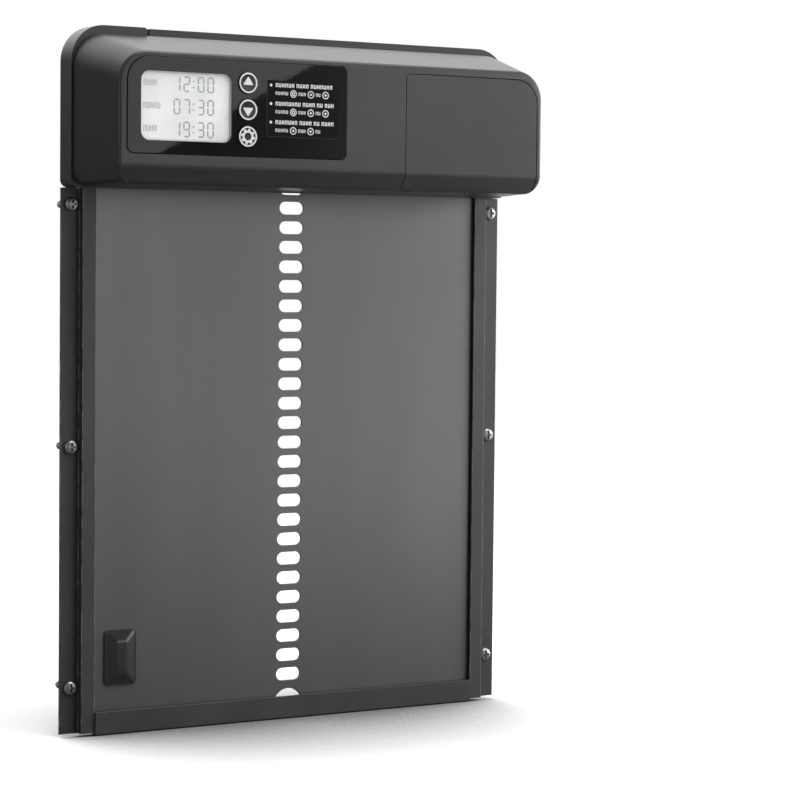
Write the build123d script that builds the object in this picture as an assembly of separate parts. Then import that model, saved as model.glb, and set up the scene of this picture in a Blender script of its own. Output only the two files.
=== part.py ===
"""Automatic coop door: a slotted aluminium door that a geared motor in the head unit winds up and down.

Millimetres. X runs to the right, Y into the wall, Z up. The origin is the middle of the six wall
screws, on the plane that lies against the wall, so everything except the screw tips has Y below 0.
"""
from build123d import *
from math import atan2, cos, degrees, hypot, pi, radians, sin
import os

# ---- driving dimensions: frame ----
frame_width = 270.0
frame_low = -149.5
head_low = 134.0          # underside of the head unit at the wall
head_high = 217.0         # top of the rim round the door slot
sheet = 1.2               # wall of the rails, sill and tie plate
flange_reach = 10.5       # screw flange, from the outer edge to the raised channel
channel_edge = 116.8      # inner edge of each rail, from the middle
lip_front = -5.5          # front of the raised channel
rail_high = 207.0
sill_front = -6.6
sill_low = -150.4
sill_high = -138.6
sill_back_high = -139.6
screw_x = 129.1
screw_pitch = 125.5
run = 1.0                 # how far a cutting solid runs past the piece that it cuts

# ---- driving dimensions: door and its rack ----
door_half = 121.0
door_low = -144.0
door_high = 200.0
door_back = -1.6
door_sheet = 1.5
door_front = door_back - door_sheet
rack_pitch = 10.54
rack_count = 30
rack_low = -127.05        # centre of the lowest slot
slot_width = 14.8
slot_height = 6.8
notch_radius = 9.0
grip_x = -101.4
grip_width = 18.0
grip_height = 29.5
grip_base = 1.0
grip_margin = 0.8
grip_rise = 1.9
grip_bevel = 5.5
rivet_r = 1.6
rivet_spread = 9.0
lower_grip_z = -111.0
upper_grip_z = 162.0

# ---- driving dimensions: head unit ----
wall = 2.2                # casing wall
rear_front = -13.5        # front of the rear shell
seal_gap = 0.4            # room for the gasket between the shells
rim_front = -7.5          # front of the thin part of the rim
rim_step_x = -92.2        # where the deep part of the rim ends
rim_gap = 4.2             # the gap between the deep part and the thin part
corner_r = 18.5
foot_r = 4.0              # lower corners of the rear shell
step_half = 134.0         # casing half width where the two shells meet
step_low = 134.4
step_high = 212.8
step_r = 17.0
step_foot_r = 8.0
face_y = -54.3            # front face
face_half = 127.6
face_low = 135.5
face_high = 201.6
face_r = 15.5
chamfer_rise = 8.8       # the sloped lower edge of the front face
chamfer_depth = 5.0
ridge_r = 5.0             # where the front face turns into that slope
rim_r = 1.6               # edge of the front face
partition = (-12.6, -11.2)
slot_back = -0.9          # back of the slot that the door rises through
slot_low = 209.0

# ---- driving dimensions: control panel ----
panel_left, panel_right = -123.2, 3.8
panel_low, panel_high = 150.6, 199.0
panel_back = -53.2
panel_front = -54.7
lcd_left, lcd_right = -115.7, -64.4
lcd_low, lcd_high = 157.2, 191.9
button_x = -55.5
button_zs = (188.0, 174.3, 160.7)
button_r = 5.5
button_travel = 0.8
button_proud = 0.9
window_r = 4.5
panel_corner_r = 12.0
panel_r = 3.5
label_left, label_right = -43.9, -2.2
label_low, label_high = 161.3, 189.9
board_y = -45.6
board_sheet = 1.6

# ---- driving dimensions: battery bay ----
lid_left, lid_right = 40.4, 124.4
lid_top = 197.0
lid_gap = 0.25
lid_depth = -41.5         # the lid's floor reaches back to here
lid_skin_wall = 2.0
lid_screw_x, lid_screw_y = 46.2, -45.6
lid_screw_r = 1.5
lid_screw_head_r = 2.5
cell_r = 7.1
cell_length = 49.5
cell_pitch = 15.2
cell_y = -42.0
cell_low = 146.0
bay_middle = 81.5

# ---- driving dimensions: drive ----
pinion_teeth = 8
pinion_pitch_r = pinion_teeth * rack_pitch / (2 * pi)
pinion_y = (door_front + door_back) / 2 - pinion_pitch_r
pinion_z = rack_low + 28 * rack_pitch
pinion_tip_r = 14.2
pinion_root_r = 9.6
pinion_width = 9.0
fine_module = 0.5
coarse_module = 0.8
fine_small, fine_large = 8, 40
coarse_small, coarse_large = 10, 24
motor_y, motor_z = -39.2, 151.0
motor_r = 12.2
motor_length = 31.0
case_x = (7.0, 31.0)
case_wall = 1.2
case_front, case_back = -50.6, -3.9
case_low, case_high = 139.6, 189.4
case_step_y, case_step_z = -30.4, 152.8   # the case is cut back below this corner
fit = 0.04                # radial clearance of each running fit


# ---- small makers ----
def block(x, y, z):
    """A box between (low, high) pairs."""
    size = [high - low for low, high in (x, y, z)]
    middle = [(high + low) / 2 for low, high in (x, y, z)]
    return Pos(*middle) * Box(*size)


def rod_x(y, z, radius, x):
    """A round bar along X between the two ends in x."""
    return Pos((x[0] + x[1]) / 2, y, z) * Rot(0, 90, 0) * Cylinder(radius, x[1] - x[0])


def rod_y(x, z, radius, y):
    """A round bar along Y between the two ends in y."""
    return Pos(x, (y[0] + y[1]) / 2, z) * Rot(90, 0, 0) * Cylinder(radius, y[1] - y[0])


def rod_z(x, y, radius, z):
    """A round bar along Z between the two ends in z."""
    return Pos(x, y, (z[0] + z[1]) / 2) * Cylinder(radius, z[1] - z[0])


def front_plane(y):
    """The plane at depth y, seen from the front: sketch X is X and sketch Y is Z."""
    return Plane(origin=(0, y, 0), x_dir=(1, 0, 0), z_dir=(0, -1, 0))


def prism(sketch, y):
    """A front-view outline carried from the deeper y to the nearer one."""
    near, deep = min(y), max(y)
    return extrude(front_plane(deep) * sketch, amount=deep - near)


def outline(x, z, radii):
    """A rectangle whose corners have radii (top left, top right, low right, low left)."""
    face = Pos((x[0] + x[1]) / 2, (z[0] + z[1]) / 2) * Rectangle(x[1] - x[0], z[1] - z[0])
    corners = ((x[0], z[1]), (x[1], z[1]), (x[1], z[0]), (x[0], z[0]))
    for (u, v), radius in zip(corners, radii):
        if radius:
            nearest = min(face.vertices(), key=lambda p: hypot(p.X - u, p.Y - v))
            face = fillet(nearest, radius)
    return face


def side_prism(points, x):
    """A side-view outline of (y, z) points carried along X."""
    plane = Plane(origin=(x[0], 0, 0), x_dir=(0, 1, 0), z_dir=(1, 0, 0))
    return extrude(plane * make_face(Polyline(*points, close=True)), amount=x[1] - x[0])


def top_prism(points, z):
    """A plan outline of (x, y) points carried along Z."""
    face = make_face(Polyline(*points, close=True))
    return extrude(Plane.XY.offset(z[0]) * face, amount=z[1] - z[0])


def mirrored(part):
    """The same piece on the other side of the door."""
    return mirror(part, about=Plane.YZ)


def gear_face(teeth, root_r, tip_r, root_half, tip_half):
    """A gear outline with straight-sided teeth, one of them centred on the sketch's +X."""
    face = Circle(root_r)
    foot_r = root_r - 0.4
    tooth = make_face(Polyline(
        (foot_r, -root_half), (tip_r, -tip_half), (tip_r, tip_half), (foot_r, root_half), close=True))
    for number in range(teeth):
        face += Rot(0, 0, 360 * number / teeth) * tooth
    return face


def gear(teeth, module, centre, x, turn):
    """A spur gear about an axis along X; turn is the angle of one tooth from +Y towards +Z."""
    pitch_r = teeth * module / 2
    face = gear_face(teeth, pitch_r - 1.15 * module, pitch_r + 0.8 * module, 0.6 * module, 0.22 * module)
    plane = Plane(origin=(x[0], *centre), x_dir=(0, 1, 0), z_dir=(1, 0, 0))
    return extrude(plane * Rot(0, 0, turn) * face, amount=x[1] - x[0])


def meet(a, b, reach_a, reach_b):
    """The upper of the two (y, z) points at the given distances from a and b."""
    across, up = b[0] - a[0], b[1] - a[1]
    span = hypot(across, up)
    along = (span ** 2 + reach_a ** 2 - reach_b ** 2) / (2 * span)
    aside = (reach_a ** 2 - along ** 2) ** 0.5
    unit = (across / span, up / span)
    return (a[0] + along * unit[0] - aside * unit[1], a[1] + along * unit[1] + aside * unit[0])


parts = {}

# ---- rails: an extruded channel for the door's edge, with a screw flange ----
outer = -frame_width / 2
web = outer + flange_reach
lip_back = lip_front + sheet
channel = [(web, 0), (-channel_edge, 0), (-channel_edge, -sheet), (web + sheet, -sheet),
           (web + sheet, lip_back), (-channel_edge, lip_back), (-channel_edge, lip_front),
           (web, lip_front)]
mount_hole_r = 2.2
left_rail = top_prism(channel, (frame_low, rail_high))
left_rail += block((outer, web + sheet), (-sheet, 0), (frame_low, head_low))
mount_zs = (-screw_pitch, 0, screw_pitch)
for z in mount_zs:
    left_rail -= rod_y(-screw_x, z, mount_hole_r, (-sheet - run, run))
parts["left_rail"] = left_rail
parts["right_rail"] = mirrored(left_rail)

# ---- sill: a trough for the door's foot, lower at the back so that the door's notch stays open ----
sill_face = 1.5
sill_points = [(0, sill_low), (sill_front, sill_low), (sill_front, sill_high),
               (sill_front + sill_face, sill_high), (sill_front + sill_face, sill_low + sill_face),
               (-sheet, sill_low + sill_face), (-sheet, sill_back_high), (0, sill_back_high)]
parts["sill"] = side_prism(sill_points, (-channel_edge, channel_edge))

# ---- tie plate: joins the rails behind the head unit and backs the door against the drive ----
tie_reach = 13.0
tie_window = block(
    (-pinion_width, pinion_width), (-sheet - run, run), (pinion_z - tie_reach, pinion_z + tie_reach))
parts["tie_plate"] = block(
    (-channel_edge, channel_edge), (-sheet, 0), (head_low, rail_high)) - tie_window

# ---- door: a plain sheet with a rack of slots and a half-round notch at its foot ----
door_face = outline((-door_half, door_half), (door_low, door_high), (5, 5, 2, 2))
for number in range(rack_count):
    door_face -= Pos(0, rack_low + number * rack_pitch) * SlotOverall(slot_width, slot_height)
door_face -= Pos(0, door_low) * Circle(notch_radius)
grip_zs = {"lower_grip": lower_grip_z, "upper_grip": upper_grip_z}
door_panel = prism(door_face, (door_front, door_back))
for grip_z in grip_zs.values():
    for side in (-1, 1):
        door_panel -= rod_y(
            grip_x, grip_z + side * rivet_spread, rivet_r, (door_front - run, door_back + run))
parts["door_panel"] = door_panel


# ---- grips: a low hipped pull on a thin base, pinned through the door ----
def grip(z):
    base_front = door_front - grip_base
    foot = (grip_width - 2 * grip_margin, grip_height - 2 * grip_margin)
    crown = [side - 2 * grip_bevel for side in foot]
    hip = loft([front_plane(base_front) * Pos(grip_x, z) * Rectangle(*foot),
                front_plane(base_front - grip_rise) * Pos(grip_x, z) * Rectangle(*crown)])
    base = prism(
        outline((grip_x - grip_width / 2, grip_x + grip_width / 2),
                (z - grip_height / 2, z + grip_height / 2), (3, 3, 3, 3)), (base_front, door_front))
    pins = [rod_y(grip_x, z + side * rivet_spread, rivet_r - 0.1, (door_front, door_back + 0.1))
            for side in (-1, 1)]
    return base + hip + pins


for name, z in grip_zs.items():
    parts[name] = grip(z)

# ---- rear shell: a shallow tray round the rails, closed at the front by the partition ----
rear_span = (-frame_width / 2, frame_width / 2)
rear_outline = outline(rear_span, (head_low, head_high), (corner_r, corner_r, foot_r, foot_r))
step_outline = outline(
    (-step_half, step_half), (step_low, step_high), (step_r, step_r, step_foot_r, step_foot_r))
deep_end = outline((-frame_width / 2, rim_step_x), (head_low, head_high), (corner_r, 2, 0, foot_r))
rear_shell = prism(rear_outline, (rim_front, 0))
rear_shell += prism(step_outline, (rear_front, rim_front))
rear_shell += prism(deep_end, (rear_front, rim_front))
tray = outline((-frame_width / 2 + wall, frame_width / 2 - wall), (head_low + wall, step_high - wall),
               (corner_r - wall, corner_r - wall, 2, 2))
rear_shell -= prism(tray, (partition[1], run))
inner_step = outline((-step_half + wall, step_half - wall), (step_low + wall, step_high - wall),
                     (step_r - wall, step_r - wall, 6, 6))
rear_shell -= prism(inner_step, (rear_front - run, partition[0]))
# the door, its grips and the rails pass through the floor, and the door and grips through the rim
passage_half = channel_edge + 9.2
grip_passage = (grip_x - grip_width / 2 - 1.5, grip_x + grip_width / 2 + 1.5)
grip_clear = door_front - grip_base - grip_rise - 1.2
floor_cut = (head_low - run, head_low + wall + run)
rim_cut = (slot_low, head_high + run)
rim_slot_half = door_half + 0.8
rear_shell -= block((-passage_half, passage_half), (lip_front - 0.5, run), floor_cut)
rear_shell -= block(grip_passage, (grip_clear, 0), floor_cut)
rear_shell -= block((-rim_slot_half, rim_slot_half), (door_front - 1, slot_back), rim_cut)
rear_shell -= block(grip_passage, (grip_clear, slot_back), rim_cut)
rear_shell -= block(
    (rim_step_x, rim_step_x + rim_gap), (rim_front - run, slot_back), (step_high, head_high + run))
# the pinion and the gearbox reach the door through the partition
drive_gap = 0.6
rear_shell -= block(
    (-pinion_width - 0.5, case_x[1] + drive_gap), (partition[0] - run, partition[1] + run),
    (case_step_z - 1.5, case_high + drive_gap))
casing_screw_spots = [(-127.9, 146.0), (127.9, 146.0), (-127.9, 186.0), (127.9, 186.0)]
post_r = 3.1
post_length = 12.0        # posts of the front shell
screw_r = 1.4
head_r = 2.6
head_sink = 3.0           # depth of the seat of a casing screw's head
head_rise = 1.6
for x, z in casing_screw_spots:
    rear_shell += rod_y(x, z, post_r, (partition[1], 0))
    rear_shell -= rod_y(x, z, screw_r + 0.15, (rear_front - run, run))
    rear_shell -= rod_y(x, z, head_r + 0.2, (-head_sink, run))
parts["rear_shell"] = rear_shell

# ---- front casing: drafted from the rear shell to the front face, with a sloped lower edge ----
joint_y = rear_front - seal_gap


def casing_block(inset, back_y, front_y):
    """The casing's outer form, or the same form set in by a wall's thickness."""
    depth = joint_y - face_y

    def blend(low, high, y):
        return low + (high - low) * (joint_y - y) / depth

    def section(y):
        half = blend(step_half, face_half, y) - inset
        low = blend(step_low, face_low, y) + inset
        high = blend(step_high, face_high, y) - inset
        top_r = max(blend(step_r, face_r, y) - inset, 1)
        low_r = step_foot_r - inset
        return front_plane(y) * outline((-half, half), (low, high), (top_r, top_r, low_r, low_r))

    return loft([section(back_y), section(front_y)])


def lower_slope(inset):
    """The wedge that the sloped lower edge of the front face takes away."""
    reach = 20
    corner_y, corner_z = face_y, face_low + chamfer_rise
    slope = chamfer_depth / chamfer_rise
    shift = inset * hypot(1, slope)
    high_y = corner_y + shift - reach * slope
    low_y = corner_y + shift + (chamfer_rise + reach) * slope
    return side_prism([(high_y, corner_z + reach), (low_y, face_low - reach),
                       (face_y - reach, face_low - reach), (face_y - reach, corner_z + reach)],
                      (-frame_width, frame_width))


outer_form = casing_block(0, joint_y, face_y) - lower_slope(0)
ridge = [e for e in outer_form.edges().filter_by(Axis.X)
         if abs(e.center().Y - face_y) < 0.1 and abs(e.center().Z - face_low - chamfer_rise) < 1.5]
outer_form = fillet(ridge, ridge_r)
front_rim = [e for e in outer_form.edges() if abs(e.center().Y - face_y) < 0.2
             and (e.center().Z > face_high - 14 or abs(e.center().X) > face_half - 1)]
outer_form = fillet(front_rim, rim_r)
cavity = casing_block(wall, joint_y + run, face_y + wall) - lower_slope(wall)
casing = outer_form - cavity

# the lid is cut from the same skin, so its face follows the casing
below = 20.0              # the lid's outline runs this far below the casing
lid_radii = (3.0, 13.0, 0, 0)
lid_outline = outline((lid_left, lid_right), (face_low - below, lid_top), lid_radii)
lid_form = outer_form & prism(lid_outline, (face_y - run, lid_depth))
lid_hole = outline((lid_left - lid_gap, lid_right + lid_gap), (face_low - below, lid_top + lid_gap),
                   [radius and radius + lid_gap for radius in lid_radii])
front_shell = casing - prism(lid_hole, (face_y - run, lid_depth + lid_gap))
panel_gap = 0.15
panel_radii = (panel_corner_r, panel_r, panel_r, panel_r)
panel_outline = outline((panel_left, panel_right), (panel_low, panel_high), panel_radii)
panel_pocket = outline((panel_left - panel_gap, panel_right + panel_gap),
                       (panel_low - panel_gap, panel_high + panel_gap),
                       [radius + panel_gap for radius in panel_radii])
front_shell -= prism(panel_pocket, (face_y - run, panel_back))
ledge = 3.2               # the panel rests on this much of the casing all round
board_window = outline((panel_left + ledge + 0.8, panel_right - ledge - 0.8),
                       (panel_low + ledge, panel_high - ledge), (4, 2, 2, 2))
front_shell -= prism(board_window, (face_y - run, face_y + wall + run))
for x, z in casing_screw_spots:
    front_shell += rod_y(x, z, post_r, (joint_y - post_length, joint_y))
    front_shell -= rod_y(x, z, screw_r + 0.02, (joint_y - post_length + 2, joint_y + run))
parts["front_shell"] = front_shell

# ---- battery lid: a skin that slides down, with a floor that its screw goes up through ----
lid_inner = casing_block(lid_skin_wall, joint_y + run, face_y + lid_skin_wall) - lower_slope(lid_skin_wall)
boss_low = face_low - 3
boss_r = 3.6
lid_seat = 138.2          # the lid screw's head bears here
lid_boss_high = 140.2
battery_lid = lid_form - lid_inner
battery_lid += rod_z(lid_screw_x, lid_screw_y, boss_r, (boss_low, lid_boss_high)) & outer_form
battery_lid -= rod_z(lid_screw_x, lid_screw_y, lid_screw_head_r + 0.35, (boss_low - run, lid_seat))
battery_lid -= rod_z(lid_screw_x, lid_screw_y, lid_screw_r + fit, (boss_low - run, lid_boss_high + run))
parts["battery_lid"] = battery_lid

# ---- lid screw: enters from below and stays in the lid ----
lid_head = 1.8
driver_arm, driver_half = 2.0, 0.4   # its driver slot
lid_screw = rod_z(lid_screw_x, lid_screw_y, lid_screw_head_r, (lid_seat - lid_head, lid_seat))
lid_screw += rod_z(lid_screw_x, lid_screw_y, lid_screw_r, (lid_seat, lid_seat + 10))
lid_screw -= block((lid_screw_x - driver_arm, lid_screw_x + driver_arm),
                   (lid_screw_y - driver_half, lid_screw_y + driver_half),
                   (lid_seat - lid_head - run, lid_seat - lid_head / 2))
parts["lid_screw"] = lid_screw

# ---- battery box: a tray of four bays that the lid closes, with the nut post for the lid screw ----
bay_x = (bay_middle - 2 * cell_pitch - 2.0, bay_middle + 2 * cell_pitch + 2.0)
bay_z = (cell_low - 4.4, cell_low + cell_length + 3.6)
bay_floor = 1.5
box_back = cell_y + cell_r + 2.0
box_front = -50.2
bay_inside_x = (bay_x[0] + bay_floor, bay_x[1] - bay_floor)
bay_inside_z = (bay_z[0] + bay_floor, bay_z[1] - bay_floor)
box_slope = lower_slope(lid_skin_wall + 0.5)
battery_box = block(bay_x, (box_front, box_back), bay_z)
battery_box -= block(bay_inside_x, (box_front - run, cell_y), bay_inside_z)
cell_xs = [bay_middle + (number - 1.5) * cell_pitch for number in range(4)]
for x in cell_xs:
    battery_box -= rod_z(x, cell_y, cell_r + 0.3, bay_inside_z)
nut_r = 3.1
nut_high = lid_boss_high + 11
battery_box += rod_z(lid_screw_x, lid_screw_y, nut_r, (lid_boss_high + 0.5, nut_high))
battery_box += block((lid_screw_x, bay_x[0] + 0.5), (lid_screw_y - 1, lid_screw_y + nut_r),
                     (lid_boss_high + 1.5, nut_high))
battery_box -= rod_z(lid_screw_x, lid_screw_y, lid_screw_r + 0.3, (lid_boss_high, lid_boss_high + 9.5))
parts["battery_box"] = battery_box - box_slope


# ---- cells and their contacts ----
button_end, button_end_r = 1.2, 2.6
spring_rings = 3
spring_r, spring_taper, spring_wire = 5.0, 0.9, 1.6
plate_half = 4.0


def cell(x, up):
    """A cylindrical cell; up says that its button end is at the top."""
    top = cell_low + cell_length
    whole = rod_z(x, cell_y, cell_r, (cell_low, top - button_end)) \
        + rod_z(x, cell_y, button_end_r, (top - button_end, top))
    return whole if up else Pos(0, 0, cell_low + top) * mirror(whole, about=Plane.XY)


for number, x in enumerate(cell_xs):
    parts[f"battery_{number + 1}"] = cell(x, number % 2 == 0)

contact_low, contact_high = bay_inside_z
springs, plates = [], []
for number, x in enumerate(cell_xs):
    top_is_button = number % 2 == 0
    floor_z, roof_z = (contact_low, cell_low), (cell_low + cell_length, contact_high)
    spring_gap, plate_gap = (floor_z, roof_z) if top_is_button else (roof_z, floor_z)
    step = (spring_gap[1] - spring_gap[0]) / spring_rings
    for turn in range(spring_rings):
        low = spring_gap[0] + turn * step
        radius = spring_r - spring_taper * (turn if top_is_button else spring_rings - 1 - turn)
        springs.append(rod_z(x, cell_y, radius, (low, low + step))
                       - rod_z(x, cell_y, radius - spring_wire, (low - run, low + step + run)))
    plates.append(
        block((x - plate_half, x + plate_half), (cell_y - plate_half, cell_y + plate_half), plate_gap))
parts["contact_springs"] = Compound(children=[s.solids()[0] for s in springs])
parts["contact_plates"] = Compound(children=[p.solids()[0] for p in plates])

# ---- lid seal: a rubber frame between the battery box and the lid ----
seal_y = (face_y + lid_skin_wall + 0.4, box_front)
seal_width = 2.2
lid_seal = block(bay_x, seal_y, bay_z)
lid_seal -= block((bay_x[0] + seal_width, bay_x[1] - seal_width), (seal_y[0] - run, seal_y[1] + run),
                  (bay_z[0] + seal_width + 3, bay_z[1] - seal_width))
parts["lid_seal"] = lid_seal - box_slope

# ---- shell seal: a thin gasket in the joint between the two shells ----


def joint_outline(inset):
    """The joint between the shells, set in from the casing's edge."""
    top_r, low_r = step_r - inset, step_foot_r - inset
    return outline((-step_half + inset, step_half - inset), (step_low + inset, step_high - inset),
                   (top_r, top_r, low_r, low_r))


parts["shell_seal"] = prism(joint_outline(0.3) - joint_outline(1.9), (joint_y, rear_front))

# ---- control panel with its window, buttons and label ----
control_panel = prism(panel_outline, (panel_front, panel_back))
window_outline = outline((lcd_left, lcd_right), (lcd_low, lcd_high), (window_r,) * 4)
through_panel = (panel_front - run, panel_back + run)
control_panel -= prism(window_outline, through_panel)
for z in button_zs:
    control_panel -= rod_y(button_x, z, button_r + 0.15, through_panel)
label_sink = 0.3
label_outline = outline((label_left, label_right), (label_low, label_high), (0.8,) * 4)
control_panel -= prism(label_outline, (panel_front - run, panel_front + label_sink))
parts["control_panel"] = control_panel
glass_gap = 0.1
glass_outline = outline((lcd_left + glass_gap, lcd_right - glass_gap),
                        (lcd_low + glass_gap, lcd_high - glass_gap), (window_r - glass_gap,) * 4)
parts["display_window"] = prism(glass_outline, (panel_front + glass_gap, panel_back))
parts["instruction_label"] = prism(label_outline, (panel_front, panel_front + label_sink))

# ---- display module, circuit board and its parts ----
lcd_x = (lcd_left - 2.2, lcd_right + 2.0)
lcd_z = (lcd_low - 2.0, lcd_high + 1.6)
lcd_front, lcd_back = -53.0, -49.2
parts["lcd_module"] = block(lcd_x, (lcd_front, lcd_back), lcd_z)
parts["display_frame"] = block(lcd_x, (lcd_back, board_y), lcd_z) \
    - block((lcd_left + 1, lcd_right - 1), (lcd_back - run, board_y + run), (lcd_low, lcd_high))
board_x, board_z = (-124.0, -28.0), (154.0, 195.0)
board_inset = 3.0
board_hole_r = 1.25
board = block(board_x, (board_y, board_y + board_sheet), board_z)
board_screw_spots = [(x, z) for x in (board_x[0] + board_inset, board_x[1] - board_inset)
                     for z in (board_z[0] + board_inset, board_z[1] - board_inset)]
for x, z in board_screw_spots:
    board -= rod_y(x, z, board_hole_r, (board_y - run, board_y + board_sheet + run))
parts["circuit_board"] = board
parts["board_screws"] = Compound(children=[
    (rod_y(x, z, 2.1, (board_y - 1.3, board_y)) + rod_y(x, z, 1.1, (board_y, board_y + 5))).solids()[0]
    for x, z in board_screw_spots])
parts["board_posts"] = Compound(children=[
    (rod_y(x, z, 2.4, (board_y + board_sheet, partition[0]))
     - rod_y(x, z, board_hole_r - 0.1, (board_y, board_y + 6))).solids()[0]
    for x, z in board_screw_spots])
switch_half = 3.0
switch_front = board_y - 3.4
switch_plunger = 0.9
switches = []
for z in button_zs:
    body = block((button_x - switch_half, button_x + switch_half), (switch_front, board_y),
                 (z - switch_half, z + switch_half))
    plunger = rod_y(button_x, z, 1.7, (switch_front - switch_plunger, switch_front))
    switches.append((body + plunger).solids()[0])
parts["button_switches"] = Compound(children=switches)
chip_spots = [((-48, -36), (168, 180), 1.8), ((-40, -33), (184, 188), 1.4), ((-48, -42), (158, 163), 2.6),
              ((-49, -44), (184, 190), 3.4), ((-38, -33), (158, 163), 2.0)]
parts["board_components"] = Compound(children=[
    block(x, (board_y - rise, board_y), z).solids()[0] for x, z, rise in chip_spots])

# ---- buttons: a domed cap in the panel, a collar behind it and a stem to its switch ----
cap_front = panel_front - button_proud
collar = (panel_back + 0.05, panel_back + 1.15)
stem_end = switch_front - switch_plunger - (button_travel + 0.15)


def button(z):
    cap = rod_y(button_x, z, button_r, (cap_front, collar[0]))
    cap = fillet(cap.edges().filter_by(GeomType.CIRCLE).sort_by(Axis.Y)[0], 0.5)
    return cap + rod_y(button_x, z, button_r + 0.9, collar) + rod_y(button_x, z, 2.0, (collar[1], stem_end))


for name, z in zip(("up_button", "down_button", "set_button"), button_zs):
    parts[name] = button(z)

# ---- drive: motor, three gear stages, output shaft and the pinion that climbs the rack ----
output = (pinion_y, pinion_z)
motor = (motor_y, motor_z)
fine_reach = fine_module * (fine_small + fine_large) / 2 + 0.1
coarse_reach = coarse_module * (coarse_small + coarse_large) / 2 + 0.1
first_lean = radians(10)
first_axis = (motor[0] + fine_reach * sin(first_lean), motor[1] + fine_reach * cos(first_lean))
second_axis = meet(first_axis, output, fine_reach, coarse_reach)
coarse_x = (9.6, 14.6)
middle_x = (15.4, 19.4)
fine_x = (20.2, 24.2)


def mesh_turn(here, there, teeth):
    """The tooth angle that centres a gap of the gear at here on the gear at there."""
    return degrees(atan2(there[1] - here[1], there[0] - here[0])) + 180 / teeth


def facing_turn(here, there):
    """The tooth angle that points one tooth of the gear at here to the gear at there."""
    return degrees(atan2(there[1] - here[1], there[0] - here[0]))


pinion_face = gear_face(pinion_teeth, pinion_root_r, pinion_tip_r, 2.3, 1.35)
pinion_plane = Plane(origin=(-pinion_width / 2, *output), x_dir=(0, 1, 0), z_dir=(1, 0, 0))
shaft_r = 2.5
door_pinion = extrude(pinion_plane * pinion_face, amount=pinion_width)
door_pinion += rod_x(*output, 5.0, (-pinion_width / 2 - 3, pinion_width / 2))
door_pinion -= rod_x(*output, shaft_r, (-pinion_width, pinion_width))
parts["door_pinion"] = door_pinion
parts["output_shaft"] = rod_x(*output, shaft_r, (-pinion_width / 2 - 3, middle_x[0] - 0.2))
parts["output_gear"] = gear(coarse_large, coarse_module, output, coarse_x,
                            mesh_turn(output, second_axis, coarse_large)) - rod_x(*output, shaft_r, case_x)
axle_r = 1.0
gear_bore_r = axle_r + fit
gear_hub_r = 1.5


def compound_gear(axis, large, small, large_x, small_x, large_turn, small_turn):
    """A large and a small gear moulded as one, free on a fixed axle."""
    both = gear(*large, axis, large_x, large_turn)
    both += gear(*small, axis, small_x, small_turn)
    both += rod_x(*axis, gear_hub_r, (min(large_x[0], small_x[0]), max(large_x[1], small_x[1])))
    return both - rod_x(*axis, gear_bore_r, case_x)


parts["second_gear"] = compound_gear(
    second_axis, (fine_large, fine_module), (coarse_small, coarse_module), middle_x, coarse_x,
    mesh_turn(second_axis, first_axis, fine_large), facing_turn(second_axis, output))
parts["first_gear"] = compound_gear(
    first_axis, (fine_large, fine_module), (fine_small, fine_module), fine_x, middle_x,
    mesh_turn(first_axis, motor, fine_large), facing_turn(first_axis, second_axis))
motor_face = case_x[0]
motor_shaft_r = 0.9
motor_screw_reach = 5.4
parts["motor_shaft"] = rod_x(*motor, motor_shaft_r, (motor_face - 2.0, fine_x[1]))
parts["motor_gear"] = gear(fine_small, fine_module, motor, fine_x, facing_turn(motor, first_axis)) \
    - rod_x(*motor, motor_shaft_r, case_x)
motor_can = rod_x(*motor, motor_r, (motor_face - motor_length, motor_face))
motor_can = fillet(motor_can.edges().filter_by(GeomType.CIRCLE), 0.8)
motor_can -= rod_x(*motor, motor_shaft_r + fit, (motor_face - 2.3, motor_face + run))
motor_screw_spots = [(motor[0] + side * motor_screw_reach, motor[1]) for side in (-1, 1)]
for y, z in motor_screw_spots:
    motor_can -= rod_x(y, z, 1.05, (motor_face - 3, motor_face + run))
parts["motor_can"] = motor_can
parts["motor_terminals"] = Compound(children=[
    block((motor_face - motor_length - 3.0, motor_face - motor_length), (motor[0] - 0.25, motor[0] + 0.25),
          (motor[1] + side - 1.2, motor[1] + side + 1.2)).solids()[0] for side in (-6, 6)])

# ---- gearbox: a case and a cover that hold the axles and the bush ----
case_points = [(-46.0, case_low), (case_step_y, case_low), (case_step_y, case_step_z),
               (case_back, case_step_z), (case_back, case_high), (case_front, case_high),
               (case_front, case_low + 9.5)]
gear_axes = (first_axis, second_axis)
case_split = case_x[1] - case_wall
case_inside_x = case_x[0] + case_wall
through_wall = (case_x[0] - run, case_inside_x + run)
axle_x = (case_x[0] + 0.6, case_x[1] - 0.6)
boss_gap = 0.35           # between a boss and the side of the gear that it holds in place
axle_boss_r = 2.2
bush_r = 3.6
box_screw_spots = [(-33.4, 142.4), (-47.8, 186.6), (-7.2, 186.6)]
side_plane = Plane(origin=(case_inside_x, 0, 0), x_dir=(0, 1, 0), z_dir=(1, 0, 0))
case_inside = offset(make_face(Polyline(*case_points, close=True)), -case_wall, kind=Kind.INTERSECTION)
gearbox_case = side_prism(case_points, (case_x[0], case_split))
gearbox_case -= extrude(side_plane * case_inside, amount=case_x[1] - case_x[0])
for axis in gear_axes:
    gearbox_case += rod_x(*axis, axle_boss_r, (case_inside_x, coarse_x[0] - boss_gap))
    gearbox_case -= rod_x(*axis, axle_r, (axle_x[0], case_x[1]))
gearbox_case -= rod_x(*output, bush_r, through_wall)
gearbox_case -= rod_x(*motor, 3.0, through_wall)
for y, z in box_screw_spots:
    gearbox_case += rod_x(y, z, 2.4, (case_x[0], case_split))
    gearbox_case -= rod_x(y, z, 1.0, (case_x[0] + 8, case_split + run))
for y, z in motor_screw_spots:
    gearbox_case -= rod_x(y, z, 1.2, through_wall)
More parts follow.
